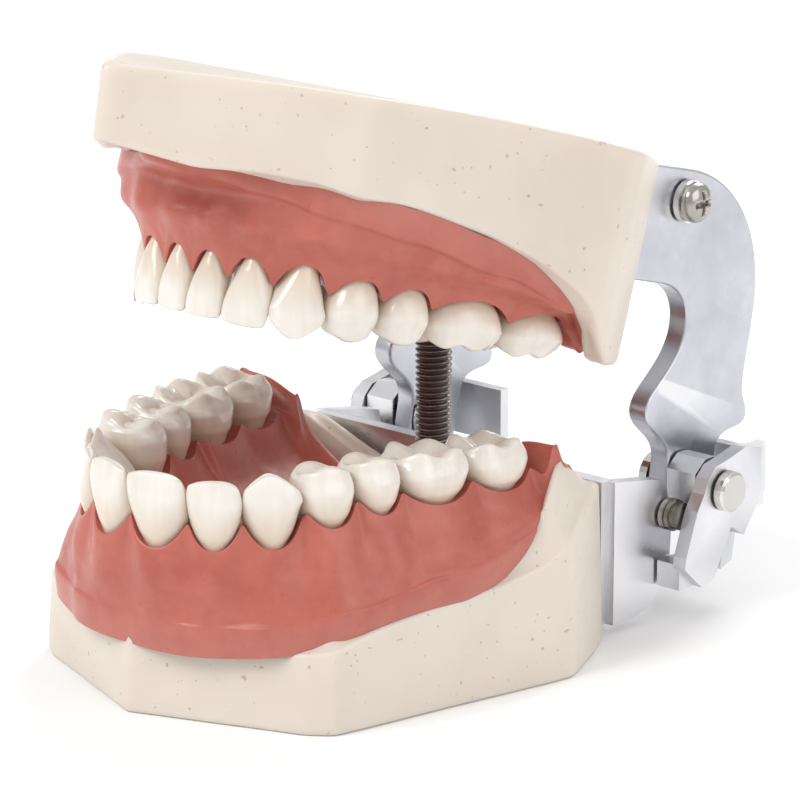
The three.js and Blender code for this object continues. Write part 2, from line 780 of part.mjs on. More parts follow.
// Outline of a hinge arm with the jaws closed, from the top front corner round the back.
function armOutline() {
  const arm = new THREE.Shape();
  arm.moveTo(channelY, jawHeight - 0.3);
  arm.lineTo(67.5, jawHeight - 0.1);
  arm.bezierCurveTo(77.5, 56.1, 85.4, 49.6, 86, 38.5);
  arm.bezierCurveTo(86.4, 34, 86, 30.5, 87, 28.4);
  arm.bezierCurveTo(87.6, 27.6, 88.5, 26.8, 88.5, 25.6);
  arm.bezierCurveTo(88.5, 24.2, 86.4, 24, 85.2, 23.4);
  arm.bezierCurveTo(84.3, 23, 83.3, 22.3, 83.2, 21.2);
  arm.lineTo(83.5, 15.6);
  arm.absarc(78.6, 15.6, 4.9, 0, -Math.PI, true);
  arm.lineTo(73.4, 18.6);
  arm.bezierCurveTo(72.8, 21.6, 69, 21.6, 67.3, 23.6);
  arm.bezierCurveTo(66.3, 25, 67, 26.4, 68, 27.8);
  arm.bezierCurveTo(70.5, 31, 71.9, 33, 71.9, 35.6);
  arm.bezierCurveTo(71.9, 39, 69.4, 41.2, 65.4, 41.2);
  arm.lineTo(channelY, 41.2);
  return arm.getPoints(7).map(({ x, y }) => [x, y]);
}

function hingeArm() {
  const outer = upperArmInner + upperArmThickness;
  const plate = sheet(armOutline(), upperArmInner, outer);
  const hole = (radius, y, z) => cylinderAlongX(upperArmInner - 1, outer + 1, radius, y, z);
  return cut(plate, hole(hingePinRadius + fitGap, hingeY, hingeZ), hole(1.8, armScrewY, armScrewZ));
}

function channel() {
  const outer = upperArmInner - fitGap;
  const low = 42.5;
  const high = jawHeight - 1;
  const rear = box([-outer, channelY, low], [outer, channelY + channelThickness, high]);
  const flange = box([outer - channelThickness, channelY + 1, low], [outer, 71, high]);
  const armHole = cylinderAlongX(outer - 4, outer + 1, 1.8, armScrewY, armScrewZ);
  const frameHoles = [-channelScrewX, channelScrewX].map((x) => {
    const hole = cylinderAlongX(-4, 4, 1.7, 0, 0).rotateZ(Math.PI / 2);
    return hole.translate(x, channelY + 1, channelScrewZ);
  });
  const body = join(rear, flange, mirrored(flange));
  return cut(body, armHole, mirrored(armHole), ...frameHoles);
}

function splitWasher() {
  const from = upperArmInner + upperArmThickness + fitGap;
  const body = cylinderAlongX(from, from + 0.8, 2.8, armScrewY, armScrewZ);
  return cut(body, cylinderAlongX(from - 1, from + 2, 1.8, armScrewY, armScrewZ));
}

function armScrew() {
  const headFrom = upperArmInner + upperArmThickness + 2 * fitGap + 0.8;
  return panScrew(2.6, 1.9, 1.5, 9).translate(headFrom, armScrewY, armScrewZ);
}

function channelScrew(x) {
  const screw = panScrew(2.9, 1.8, 1.4, 1.4).rotateZ(Math.PI / 2);
  return screw.translate(x, channelY + channelThickness + fitGap, channelScrewZ);
}

function upperHardware() {
  const group = new THREE.Group();
  const paired = [
    ['hinge_arm', hingeArm(), materials.aluminium],
    ['split_washer', splitWasher(), materials.nickel],
    ['arm_screw', armScrew(), materials.nickel],
  ];
  for (const [name, geometry, material] of paired) {
    group.add(named(`${name}_right`, geometry, material));
    group.add(named(`${name}_left`, mirrored(geometry), material));
  }
  group.add(named('upper_channel', channel(), materials.aluminium));
  group.add(named('channel_screw_right', channelScrew(channelScrewX), materials.nickel));
  group.add(named('channel_screw_left', channelScrew(-channelScrewX), materials.nickel));
  return group;
}

// ---------------------------------------------------------------- assembly

// Everything that swings, drawn closed and then opened about the hinge.
function swingingHalf() {
  const closed = new THREE.Group();
  closed.add(lowerJaw(), upperHardware());
  closed.position.set(0, -hingeY, -hingeZ);
  const hinge = new THREE.Group();
  hinge.add(closed);
  hinge.position.set(0, hingeY, hingeZ);
  hinge.rotation.x = -openAngle;
  return hinge;
}

const group = new THREE.Group();
group.add(upperJaw(), lowerHardware());
group.add(named('stop_rod', stopRod(), materials.steel));
group.add(named('stop_nut', stopNut(), materials.nickel));
group.add(swingingHalf());

export default group;
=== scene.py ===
import math
import bmesh
import bpy
import numpy as np
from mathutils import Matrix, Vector


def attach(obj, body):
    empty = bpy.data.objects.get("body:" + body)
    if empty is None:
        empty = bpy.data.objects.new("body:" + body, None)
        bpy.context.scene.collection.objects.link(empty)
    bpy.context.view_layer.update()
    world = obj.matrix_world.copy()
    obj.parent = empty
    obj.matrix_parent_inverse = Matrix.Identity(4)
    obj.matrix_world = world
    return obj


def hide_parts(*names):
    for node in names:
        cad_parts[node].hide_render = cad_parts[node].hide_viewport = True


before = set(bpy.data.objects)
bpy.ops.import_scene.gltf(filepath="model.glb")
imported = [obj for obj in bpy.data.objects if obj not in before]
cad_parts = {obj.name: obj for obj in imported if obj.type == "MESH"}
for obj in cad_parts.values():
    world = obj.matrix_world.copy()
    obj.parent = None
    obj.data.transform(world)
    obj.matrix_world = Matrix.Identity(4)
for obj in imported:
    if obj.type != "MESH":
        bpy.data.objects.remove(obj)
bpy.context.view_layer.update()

MM = 0.001
STAND, JAW = "maxillary_stand", "mandibular_jaw"

# ------------------------------------------------------------------ sizes, in millimetres
JAW_HEIGHT, OPEN = 56.3, math.radians(15.6)
HINGE_Y, HINGE_Z = 76.7, 16.5
UPPER_TEETH = [  # name, kind, width, depth, height, tip
    ("central_incisor", "incisor", 8.2, 6.6, 9.4, 30.8),
    ("lateral_incisor", "incisor", 6.7, 6.0, 8.8, 30.3),
    ("canine", "canine", 7.5, 7.6, 9.6, 31.1),
    ("first_premolar", "premolar", 7.0, 8.8, 7.6, 31.1),
    ("second_premolar", "premolar", 6.5, 8.8, 7.2, 31.2),
    ("first_molar", "molar", 10.2, 10.6, 6.8, 30.9),
    ("second_molar", "molar", 9.6, 10.4, 6.4, 30.3),
]
LOWER_TEETH = [
    ("central_incisor", "incisor", 5.3, 5.6, 8.4, 27.8),
    ("lateral_incisor", "incisor", 6.0, 6.0, 8.6, 27.9),
    ("canine", "canine", 7.0, 7.2, 9.6, 28.6),
    ("first_premolar", "premolar", 7.0, 7.6, 8.0, 27.6),
    ("second_premolar", "premolar", 7.0, 8.0, 7.4, 27.1),
    ("first_molar", "molar", 11.2, 10.2, 6.8, 26.8),
    ("second_molar", "molar", 10.2, 9.8, 6.2, 26.6),
]
# the arches' middle lines, half of each: across, back
UPPER_ARCH = [(0, 0), (4.1, 0.4), (10.4, 3.2), (15.3, 8.5), (18.8, 15.6), (20.6, 21.8), (23.2, 30),
              (24.9, 40), (25.5, 52.5)]
LOWER_ARCH = [(0, 3.8), (5.3, 4.5), (10, 6.1), (13, 8.8), (16.2, 14.4), (18.6, 21), (21.6, 29.3),
              (23.9, 39.6), (24.6, 53)]
# half outlines of the bases: across, back, rim height, ledge height
UPPER_OUTLINE = [(0, -1.15, 9.9, 9.6), (3.4, 0.2, 10.9, 10.2), (10.3, 2.8, 9.4, 10.2),
                 (16.4, 5.2, 9.4, 10.6), (21.6, 7.1, 10, 11.4),
                 (24.6, 9.4, 10.4, 12), (26.2, 16, 12, 13.4), (28.2, 25.5, 13.1, 14.2),
                 (30.2, 34, 13.9, 15.4), (31.8, 41, 15.4, 17.4),
                 (32.4, 44.6, 17.6, 22.5), (30.7, 48.6, 19.4, 26.8), (28.6, 53.4, 20.2, 24.6),
                 (26.1, 57.9, 21, 21.5),
                 (22.5, 58.9, 20.6, 19.5), (14, 58.9, 17.6, 16.6), (8, 58.9, 16, 16), (0, 58.9, 16, 16)]
LOWER_OUTLINE = [(0, -16.8, 9, 8.6), (1.2, -16, 9, 8.6), (7.8, -7.7, 10.1, 9.6), (12.5, -2.3, 9.4, 9.9),
                 (17.7, 3.7, 9.5, 10.5),
                 (21, 7.5, 10.3, 10.9), (22.6, 12.7, 10.2, 11.2), (24.5, 16.7, 10.6, 11.6),
                 (27.4, 26.6, 12.3, 13.4),
                 (29.8, 34.5, 14.6, 15.6), (31.1, 39.8, 17, 17.6), (31.9, 43.2, 19.4, 19.6),
                 (31.4, 46.6, 24.6, 22), (30, 49.6, 25.8, 25.4),
                 (28.4, 52.8, 25.8, 25.8), (26.1, 56.5, 25.6, 25.6), (23.5, 57, 25, 24), (14, 57, 12.4, 11),
                 (0, 57, 12, 10)]
CROWN = 1.9
BOSS_WIDTH, BOSS_DEPTH, BOSS_Y = 7, 4.9, 53.6  # half width, half depth, middle
ROD_Y = 55
ROD_BOTTOM, ROD_TOP = 8.0, 46.0  # 0.5 short of the CAD rod, which would cut the lower jaw's base
# gum sections: distance along the arch, then seven points, outward and up
UPPER_GUM = [
    (0, [(-10, 8), (-9, 15), (-6.8, 21.4), (1, 21.3), (1, 17), (0.6, 13.3), (0.5, 12.1)]),
    (11, [(-10, 8), (-9.6, 15), (-6.9, 21.6), (1, 21.3), (1.6, 17), (1.7, 13.5), (2.1, 12.3)]),
    (18.6, [(-10.5, 8), (-10, 15), (-8, 21.6), (1, 21.4), (3, 17), (4, 13.9), (4.7, 13)]),
    (26, [(-12, 8), (-11.4, 15), (-9.4, 23.4), (1.6, 23.4), (3.9, 18.4), (5.3, 15.2), (5.9, 14.3)]),
    (41, [(-13.5, 8), (-12.8, 15), (-11.4, 24), (2.3, 24), (4.4, 19.4), (5, 17.2), (5.4, 16.4)]),
    (55.6, [(-13.5, 8), (-12.6, 15), (-11, 24), (2.3, 24), (3.9, 21), (3.9, 19.8), (4, 19.2)]),
    (58.8, [(-12, 8), (-11, 18), (-8, 26.6), (1.2, 28.4), (2.6, 25.6), (3.2, 22.4), (3.4, 20)]),
    (62, [(-9, 8), (-8.4, 15), (-6, 22), (-0.5, 26), (1.4, 25), (2, 22.4), (2, 20)]),
]
LOWER_GUM = [
    (0, [(-8, 8), (-7, 14), (-6.2, 19.4), (1.2, 19.2), (2.7, 15.8), (2.0, 12.2), (10.6, 10.4)]),
    (5, [(-8, 8), (-7, 14), (-6.3, 19.4), (1.2, 19.2), (2.7, 15.8), (2.4, 12.4), (5.6, 10.8)]),
    (10, [(-8, 8), (-7.2, 14), (-6.5, 19.4), (1.4, 19.2), (3.0, 16), (3.2, 12.6), (4.2, 11.4)]),
    (16, [(-9, 8), (-8.2, 14), (-7.6, 19.2), (1.6, 18.9), (3.8, 16), (4.4, 13.8), (5.2, 12.7)]),
    (25, [(-10, 8), (-9, 14), (-8.2, 19.6), (1.8, 19.5), (4.2, 16.8), (4.9, 14.9), (6, 13.9)]),
    (38, [(-12, 8), (-11.4, 14), (-10.6, 20), (2.2, 19.9), (4, 18), (4.5, 17), (5.2, 16.1)]),
    (50, [(-12, 8), (-11.4, 14), (-10.4, 20.4), (2.2, 20.4), (3.7, 20), (4.4, 19.6), (4.7, 18.8)]),
    (56.6, [(-10, 8), (-9, 16), (-7, 23), (0.4, 25), (2.6, 25), (3.1, 24.6), (3.3, 24)]),
    (59.6, [(-8, 8), (-7, 14), (-5, 20), (-.6, 23), (1, 23.2), (1.3, 22.8), (1.5, 22)]),
]


# ------------------------------------------------------------------ placing and meshes
def to_rest(p):
    """Points of the lower jaw, drawn teeth up, to where they are with the jaws open."""
    p = np.asarray(p, float)
    return swing(np.stack([-p[..., 0], p[..., 1], JAW_HEIGHT - p[..., 2]], -1))


def swing(p):
    """Points of the closed model's top half to where they are with the jaws open."""
    p = np.asarray(p, float)
    y, z = p[..., 1] - HINGE_Y, p[..., 2] - HINGE_Z
    c, s = math.cos(-OPEN), math.sin(-OPEN)
    return np.stack([p[..., 0], HINGE_Y + y * c - z * s, HINGE_Z + y * s + z * c], -1)


def piece(name, verts, faces, material, body, replaced=(), smooth=True, attrs=None):
    mesh = bpy.data.meshes.new(name)
    mesh.from_pydata([tuple(v) for v in np.asarray(verts, float) * MM], [], faces)
    mesh.validate()
    for key, values in (attrs or {}).items():
        a = mesh.attributes.new(key, "FLOAT", "POINT")
        a.data.foreach_set("value", np.asarray(values, np.float32))
    face_outward(mesh)
    if smooth:
        mesh.shade_smooth()
    mesh.materials.append(material)
    o = bpy.data.objects.new(name, mesh)
    bpy.context.scene.collection.objects.link(o)
    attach(o, body)
    if replaced:
        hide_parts(*replaced)
    return o


def face_outward(mesh):
    """Turns every face so that its normal points out of the piece."""
    bm = bmesh.new()
    bm.from_mesh(mesh)
    bmesh.ops.recalc_face_normals(bm, faces=bm.faces)
    bm.to_mesh(mesh)
    bm.free()


def loft_faces(rows, cols, closed=True, first_cap=True, last_cap=True):
    faces = []
    n = cols if closed else cols - 1
    for r in range(rows - 1):
        for c in range(n):
            d = (c + 1) % cols
            faces.append((r * cols + c, r * cols + d, (r + 1) * cols + d, (r + 1) * cols + c))
    if first_cap:
        faces.append(tuple(reversed(range(cols))))
    if last_cap:
        faces.append(tuple((rows - 1) * cols + c for c in range(cols)))
    return faces


def subdivide(o, levels, render=None):
    m = o.modifiers.new("Subdivision", "SUBSURF")
    m.levels = levels
    m.render_levels = render or levels
    return o


def bevel(o, width, segments=3, angle=35):
    m = o.modifiers.new("Bevel", "BEVEL")
    m.width = width * MM
    m.segments = segments
    m.limit_method = "ANGLE"
    m.angle_limit = math.radians(angle)
    m.harden_normals = False
    w = o.modifiers.new("Normals", "WEIGHTED_NORMAL")
    w.keep_sharp = True
    return o


def smoothstep(x, a, b):
    t = np.clip((np.asarray(x, float) - a) / (b - a), 0, 1)
    return t * t * (3 - 2 * t)


# ------------------------------------------------------------------ arch line
def arch_line(half):
    pts = [(-x, y) for x, y in reversed(half[1:])] + list(half)
    pts = np.array(pts, float)
    ext = np.vstack([2 * pts[0] - pts[1], pts, 2 * pts[-1] - pts[-2]])
    out = []
    for i in range(len(pts) - 1):
        p0, p1, p2, p3 = ext[i:i + 4]
        t0 = 0.0
        t1 = t0 + math.sqrt(np.linalg.norm(p1 - p0))
        t2 = t1 + math.sqrt(np.linalg.norm(p2 - p1))
        t3 = t2 + math.sqrt(np.linalg.norm(p3 - p2))
        for t in np.linspace(t1, t2, 40, endpoint=False):
            a1 = (t1 - t) / (t1 - t0) * p0 + (t - t0) / (t1 - t0) * p1
            a2 = (t2 - t) / (t2 - t1) * p1 + (t - t1) / (t2 - t1) * p2
            a3 = (t3 - t) / (t3 - t2) * p2 + (t - t2) / (t3 - t2) * p3
            b1 = (t2 - t) / (t2 - t0) * a1 + (t - t0) / (t2 - t0) * a2
            b2 = (t3 - t) / (t3 - t1) * a2 + (t - t1) / (t3 - t1) * a3
            out.append((t2 - t) / (t2 - t1) * b1 + (t - t1) / (t2 - t1) * b2)
    out.append(pts[-1])
    out = np.array(out)
    along = np.concatenate([[0], np.cumsum(np.linalg.norm(np.diff(out, axis=0), axis=1))])
    along -= along[-1] / 2

    def line(d):
        d = float(np.clip(d, along[0], along[-1]))
        p = np.array([np.interp(d, along, out[:, k]) for k in (0, 1)])
        q0 = np.array([np.interp(d - 0.3, along, out[:, k]) for k in (0, 1)])
        q1 = np.array([np.interp(d + 0.3, along, out[:, k]) for k in (0, 1)])
        t = (q1 - q0) / max(np.linalg.norm(q1 - q0), 1e-9)
        return p, t, np.array([t[1], -t[0]])
    return line


def placed(teeth):
    out, d = [], 0.0
    for name, kind, width, depth, height, tip in teeth:
        out.append(dict(name=name, kind=kind, w=width, dep=depth, h=height, tip=tip, mid=d + width / 2,
                        start=d, end=d + width))
        d += width
    return out


# ------------------------------------------------------------------ teeth
def spow(v, e):
    return np.sign(v) * np.abs(v) ** e


def crown_rows(t, upper):
    """Rings of a crown: u towards the back of the arch, v outwards, w up from the tip."""
    n = 40
    th = (np.arange(n) + 0.5) / n * 2 * math.pi
    c, s = np.cos(th), np.sin(th)
    w, dep, h = t["w"], t["dep"], t["h"]
    front = t["kind"] in ("incisor", "canine")
    # a per-point mix towards tan: the tooth's own tint near the neck, plus painted shade at the crown's
    # sides and in the chewing groove
    rows, neck_tint_and_painted_shade = [], []
    if front:
        big = t["kind"] == "canine"
        # level, half width near, half width far, outer, inner, roundness
        if upper:
            table = [(-h - 3.5, .20, .20, -.10 * dep, -.55 * dep, 2.0),
                     (-h - 1.0, .27, .26, .02, -.80 * dep, 2.0),
                     (-h + .6, .33, .32, .35, -.88 * dep, 2.05), (-h * .8, .41, .405, .75, -.88 * dep, 2.1),
                     (-h * .62, .455, .45, .98, -.78 * dep, 2.3),
                     (-h * .44, .488, .485, 1.0, -.58 * dep, 2.6),
                     (-h * .28, .499, .499, .85, -.40 * dep, 2.9),
                     (-h * .15, .499, .495, .6, -.27 * dep, 3.2),
                     (-h * .07, .49, .475, .4, -.20 * dep, 3.2), (-h * .02, .465, .44, .2, -.14 * dep, 3.0)]
        else:
            table = [(-h - 3.5, .20, .20, -.10 * dep, -.55 * dep, 2.0),
                     (-h - 1.0, .25, .25, .05, -.80 * dep, 2.0),
                     (-h + .6, .30, .30, .4, -.86 * dep, 2.05), (-h * .8, .35, .35, .8, -.86 * dep, 2.1),
                     (-h * .62, .425, .425, .95, -.74 * dep, 2.3),
                     (-h * .44, .475, .475, .9, -.54 * dep, 2.6),
                     (-h * .28, .499, .499, .7, -.38 * dep, 2.9),
                     (-h * .15, .5, .498, .48, -.27 * dep, 3.2),
                     (-h * .07, .49, .485, .33, -.20 * dep, 3.2),
                     (-h * .02, .465, .455, .18, -.15 * dep, 3.0)]
        lv = np.array(table, float)
        ks = np.linspace(0, len(table) - 1, 22)
        cols = [np.interp(ks, np.arange(len(table)), lv[:, k]) for k in range(6)]
        for z, hn, hf, o, i, e in zip(*cols):
            uu = np.where(c > 0, hf, hn) * w * spow(c, 2 / e)
            narrow = 1 - (0.34 if not big else 0.28) * np.clip(-s, 0, 1)
            uu = uu * narrow
            mid, half = (o + i) / 2, (o - i) / 2
            vv = mid + half * spow(s, 2 / e)
            f = np.clip(1 + z / h, 0, 1)
            # hollow of the inner face between its edges, and the bulge near the neck
            dish = np.clip(-s, 0, 1) ** 2 * (1 - np.abs(c)) * math.sin(math.pi * min(max(f, 0), 1)) * 0.5
            vv = vv + dish * (1 if f > 0.35 else 0.3)
            # three faint lobes on the outer face
            vv = vv + np.clip(s, 0, 1) * 0.07 * np.cos(3 * math.pi * uu / (w * .5)) * smoothstep(f, .35, .8)
            # the far edge of the cutting line is rounder, a canine comes to a point
            x = uu / (w * 0.5)
            lift = smoothstep(f, .45, 1.0)
            if big:
                drop = 2.5 * np.abs(x + (0.10 if upper else 0.04)) ** 1.35
            else:
                bow, far_corner, near_corner = (0.35, 0.9, 0.25) if upper else (0.15, 0.25, 0.25)
                drop = bow * x ** 2 + far_corner * np.clip(x, 0, 1) ** 4 + near_corner * np.clip(-x, 0,
                                                                      1) ** 4
            zz = z - drop * lift
            # narrowing shoulders above the neck curve
            rows.append(np.stack([uu, vv, zz], -1))
            # painted shade: the outer fifth of the crown on each side darkens where the neighbouring tooth
            # meets it; the tan towards the neck is the tooth's own tint
            painted_gap_shade = 0.55 * np.clip(np.abs(x) - .8, 0, .2) / .2
            neck_tint_and_painted_shade.append(np.clip(1.1 - f * 1.6, 0, 1) * np.ones(n) + painted_gap_shade)
        top = rows[-1].mean(0)
        for k, scale in enumerate((0.55,)):
            r = rows[-1] * scale + top * (1 - scale)
            r[:, 0] = rows[-1][:, 0] * 0.97
            r[:, 1] = top[1] + (rows[-1][:, 1] - top[1]) * scale
            r[:, 2] = rows[-1][:, 2] + (0.13 if not big else 0.16)
            rows.append(r)
            neck_tint_and_painted_shade.append(neck_tint_and_painted_shade[-1])
        return rows, neck_tint_and_painted_shade, n
    molar = t["kind"] == "molar"
    o_b, i_b = (1.9, -.84 * dep) if upper else (2.1, -.86 * dep)
    table = [(-h - 3.5, .26, -.16 * dep, -.60 * dep, 2.1), (-h - .8, .335, .3, -.76 * dep, 2.1),
             (-h + .6, .39, .95, -.80 * dep, 2.2), (-h * .78, .44, 1.6, i_b, 2.35),
             (-h * .6, .475, o_b, i_b - .05, 2.5),
             (-h * .45, .5, o_b - .1, i_b + .05, 2.8), (-h * .33, .498, 1.5, i_b + .35, 2.8),
             (-h * .25, .482, 1.15, i_b + .75, 2.7)]
    if molar:
        cusps = [(-.25, -.05, 0.0), (.24, -.35, -.25), (-.22, -.62 * dep, -.25), (.25, -.58 * dep, -.55)]
        if not upper:
            cusps = [(-.27, -.1, -.1), (.10, -.15, -.25), (-.24, -.62 * dep, 0.0), (.22, -.60 * dep, -.2),
                     (.40, -.24 * dep, -.75)]
        steep, soft = .72, .9
    else:
        cusps = [(-.02, -.1, 0.0), (-.04, -.60 * dep, -.75 if upper else -1.6)]
        steep, soft = .78, 1.1
    lv = np.array(table, float)
    ks = np.linspace(0, len(table) - 1, 15)
    cols = [np.interp(ks, np.arange(len(table)), lv[:, k]) for k in range(5)]

    def chew(u, v):
        hs = []
        for cu, cv, ch in cusps:
            d2 = ((u - cu * w) * (1.0 if molar else .8)) ** 2 + ((v - cv) * 1.0) ** 2
            hs.append(ch - steep * (np.sqrt(d2 + soft ** 2) - soft))
        hs = np.array(hs)
        k = 3.2
        z = np.log(np.exp(hs * k).sum(0)) / k
        # raised rims at both ends, and a fine groove down the middle
        mid = (-.30 * dep)
        z = z + 0.55 * np.exp(-((np.abs(u) - .43 * w) / .8) ** 2) * np.exp(-((v - mid) / (.26 * dep)) ** 2)
        z = z - 0.28 * np.exp(-((v - mid + .25 * np.sin(u * 2.2)) / .28) ** 2) * np.exp(-(u / (.4 * w)) ** 4)
        if molar:
            z = z - 0.22 * np.exp(-((u - .0 * w + .2 * np.sin(v)) / .26) ** 2)
        return z
    flute = .28 if molar else .0
    for z, hw, o, i, e in zip(*cols):
        uu = hw * w * spow(c, 2 / e) * (1 - .13 * np.clip(-s, 0, 1))
        mid, half = (o + i) / 2, (o - i) / 2
        vv = mid + half * spow(s, 2 / e)
        f = np.clip(1 + z / h, 0, 1)
        # a groove between the roots and cusps on the outer and inner faces
        groove = flute * np.exp(-((uu + .02 * w) / (.11 * w)) ** 2) * np.abs(s) ** 3 * smoothstep(f, .15,
                                                                      .6)
        vv = vv - np.sign(s) * groove
        rows.append(np.stack([uu, vv, np.full(n, z)], -1))
        # painted shade: the crown's end faces darken where the neighbouring teeth meet them; the tan towards
        # the neck is the tooth's own tint
        painted_gap_shade = 0.45 * (np.abs(c) ** 6) * smoothstep(f, .1, .5)
        neck_tint_and_painted_shade.append(np.clip(1.05 - f * 1.7, 0, 1) * np.ones(n) + painted_gap_shade)
    last = rows[-1].copy()
    centre = np.array([0, (last[:, 1].max() + last[:, 1].min()) / 2])
    base_z = last[:, 2].mean()
    for r in (.955, .9, .83, .74, .64, .53, .41, .29, .17, .07):
        u = last[:, 0] * r
        v = centre[1] + (last[:, 1] - centre[1]) * r
        z = chew(u, v)
        lim = base_z + (z - base_z) * smoothstep(1 - r, .0, .12)
        rows.append(np.stack([u, v, lim], -1))
        # painted shade: the chewing face is darker along its middle groove, over a faint even tan
        neck_tint_and_painted_shade.append(np.full(n, .12) + .5 * np.exp(-((v + .30 * dep) / .5) ** 2) * (r < .8))
    return rows, neck_tint_and_painted_shade, n


def make_teeth(teeth, line, jaw, material, top):
    for side in (1, -1):
        for t in placed(teeth):
            p, tan, out = line(t["mid"] * side)
            rows, neck_tint_and_painted_shade, n = crown_rows(t, jaw == "upper")
            verts = []
            for row in rows:
                xy = p + row[:, :1] * side * tan + row[:, 1:2] * out
                verts.append(np.column_stack([xy, row[:, 2] + t["tip"]]))
            verts = np.concatenate(verts)
            mirrored = side if jaw == "upper" else -side
            word = "right" if mirrored > 0 else "left"
            verts = to_rest(verts) if top else verts
            name = f"{jaw}_{word}_{t['name']}"
            o = piece("crown_" + name, verts, loft_faces(len(rows), n), material, JAW if top else STAND,
                      [name],
                      attrs={"neck_tint_and_painted_shade": np.clip(np.concatenate(neck_tint_and_painted_shade), 0, 1.5)})
            subdivide(o, 1, 2)


# ------------------------------------------------------------------ gums
def catmull(points, count):
    pts = np.asarray(points, float)
    ext = np.vstack([2 * pts[0] - pts[1], pts, 2 * pts[-1] - pts[-2]])
    ts = np.linspace(0, len(pts) - 1 - 1e-6, count)
    out = []
    for t in ts:
        i = int(t)
        f = t - i
        p0, p1, p2, p3 = ext[i:i + 4]
        square = (2 * p0 - 5 * p1 + 4 * p2 - p3) * f * f
        cube = (3 * p1 - p0 - 3 * p2 + p3) * f ** 3
        out.append(.5 * (2 * p1 + (p2 - p0) * f + square + cube))
    return np.array(out)


def section(sections, d):
    d = abs(d)
    ats = [a for a, _ in sections]
    k = min(max(1, next((i for i, a in enumerate(ats) if a >= d), len(ats) - 1)), len(ats) - 1)
    t = float(smoothstep(d, ats[k - 1], ats[k]))
    return np.array(sections[k - 1][1], float) * (1 - t) + np.array(sections[k][1], float) * t


def margin(teeth, d, lingual):
    """Height and outward place of the gum's free edge, and how near a gap between teeth is."""
    d = abs(d)
    ts = placed(teeth)
    for t in ts:
        if d <= t["end"] + 1e-9:
            f = abs(d - t["mid"]) / (t["w"] / 2)
            front = t["kind"] in ("incisor", "canine")
            rise = {"incisor": 3.3, "canine": 3.4, "premolar": 2.5, "molar": 1.9}[t["kind"]]
            if lingual:
                rise *= .75
            neck = t["tip"] - t["h"] + (0.3 if not lingual else -.2)
            z = neck + rise * f ** 2.3
            if lingual:
                o = (-.90 * t["dep"] if front else -.84 * t["dep"]) - .15 + 1.0 * f ** 2
            else:
                o = (.62 if front else 1.35) - (1.15 if front else 1.5) * f ** 2.2
            return z, o, f
    return None, None, 1.0


def gum_profile(teeth, sections, d):
    """The gum's section at distance d along the arch: its outer side, its crest and its inner points."""
    sec = section(sections, d)
    foot, inner, crest_in, crest_out, p4, p5, p6 = sec
    z_out, o_out, f = margin(teeth, d, False)
    z_in, o_in, _ = margin(teeth, d, True)
    last = placed(teeth)[-1]["end"]
    past = float(smoothstep(abs(d), last - .4, last + .8))
    if z_out is None:
        z_out, o_out, z_in, o_in = crest_out[1], crest_out[0], crest_in[1], crest_in[0]
        edge_t = placed(teeth)[-1]
        k = math.exp(-max(0, abs(d) - last) / .5)
        z_out = crest_out[1] * (1 - k) + k * (edge_t["tip"] - edge_t["h"] + 2.2)
        z_in = crest_in[1] * (1 - k) + k * (edge_t["tip"] - edge_t["h"] + 1.2)
        o_out = crest_out[0] * (1 - k) + k * -.15
        o_in = crest_in[0] * (1 - k) + k * (-.84 * edge_t["dep"] + .8)
    border = p6 + np.array([-.2, -3.4])
    ridge = .28 * math.cos(math.pi * min(f, 1)) * (1 - past)
    body_pts = [border, p6, p5 + np.array([ridge * .4, 0]), p4 + np.array([ridge, 0])]
    mid_z = p4[1] * .35 + (z_out - 1.3) * .65
    o_mid = p4[0] * .35 + (o_out + .65) * .65
    body_pts.append(np.array([o_mid + ridge, mid_z]))
    body_pts.append(np.array([o_out + .42, z_out - .55]))
    body_pts.append(np.array([o_out + .16, z_out + .02]))
    outer = catmull(body_pts, 26)
    lip_in = np.array([o_in - .16, z_in + .02])
    inner_pts = [lip_in, np.array([o_in - .55, z_in - .7]),
                 np.array([(o_in - 1.2) * .6 + inner[0] * .4, z_in * .55 + inner[1] * .45]), inner,
                 foot]
    sag = -.5 * (1 - past) + .4 * past
    top = catmull([outer[-1], np.array([o_out - .5, z_out - .25]),
                   np.array([(o_out + o_in) / 2, (z_out + z_in) / 2 + sag]),
                   np.array([o_in + .4, z_in - .25]), lip_in], 12)[1:-1]
    return outer, top, inner_pts


def palate_point(d, reach, start, stop):
    f = min(abs(d) / reach, 1)
    y = start + (stop - start) * f ** .9
    z = 17.2 - 3.4 * math.sin(math.pi * min(1, f * .75 + .1)) - 1.0 * f
    return np.array([0, y, z])


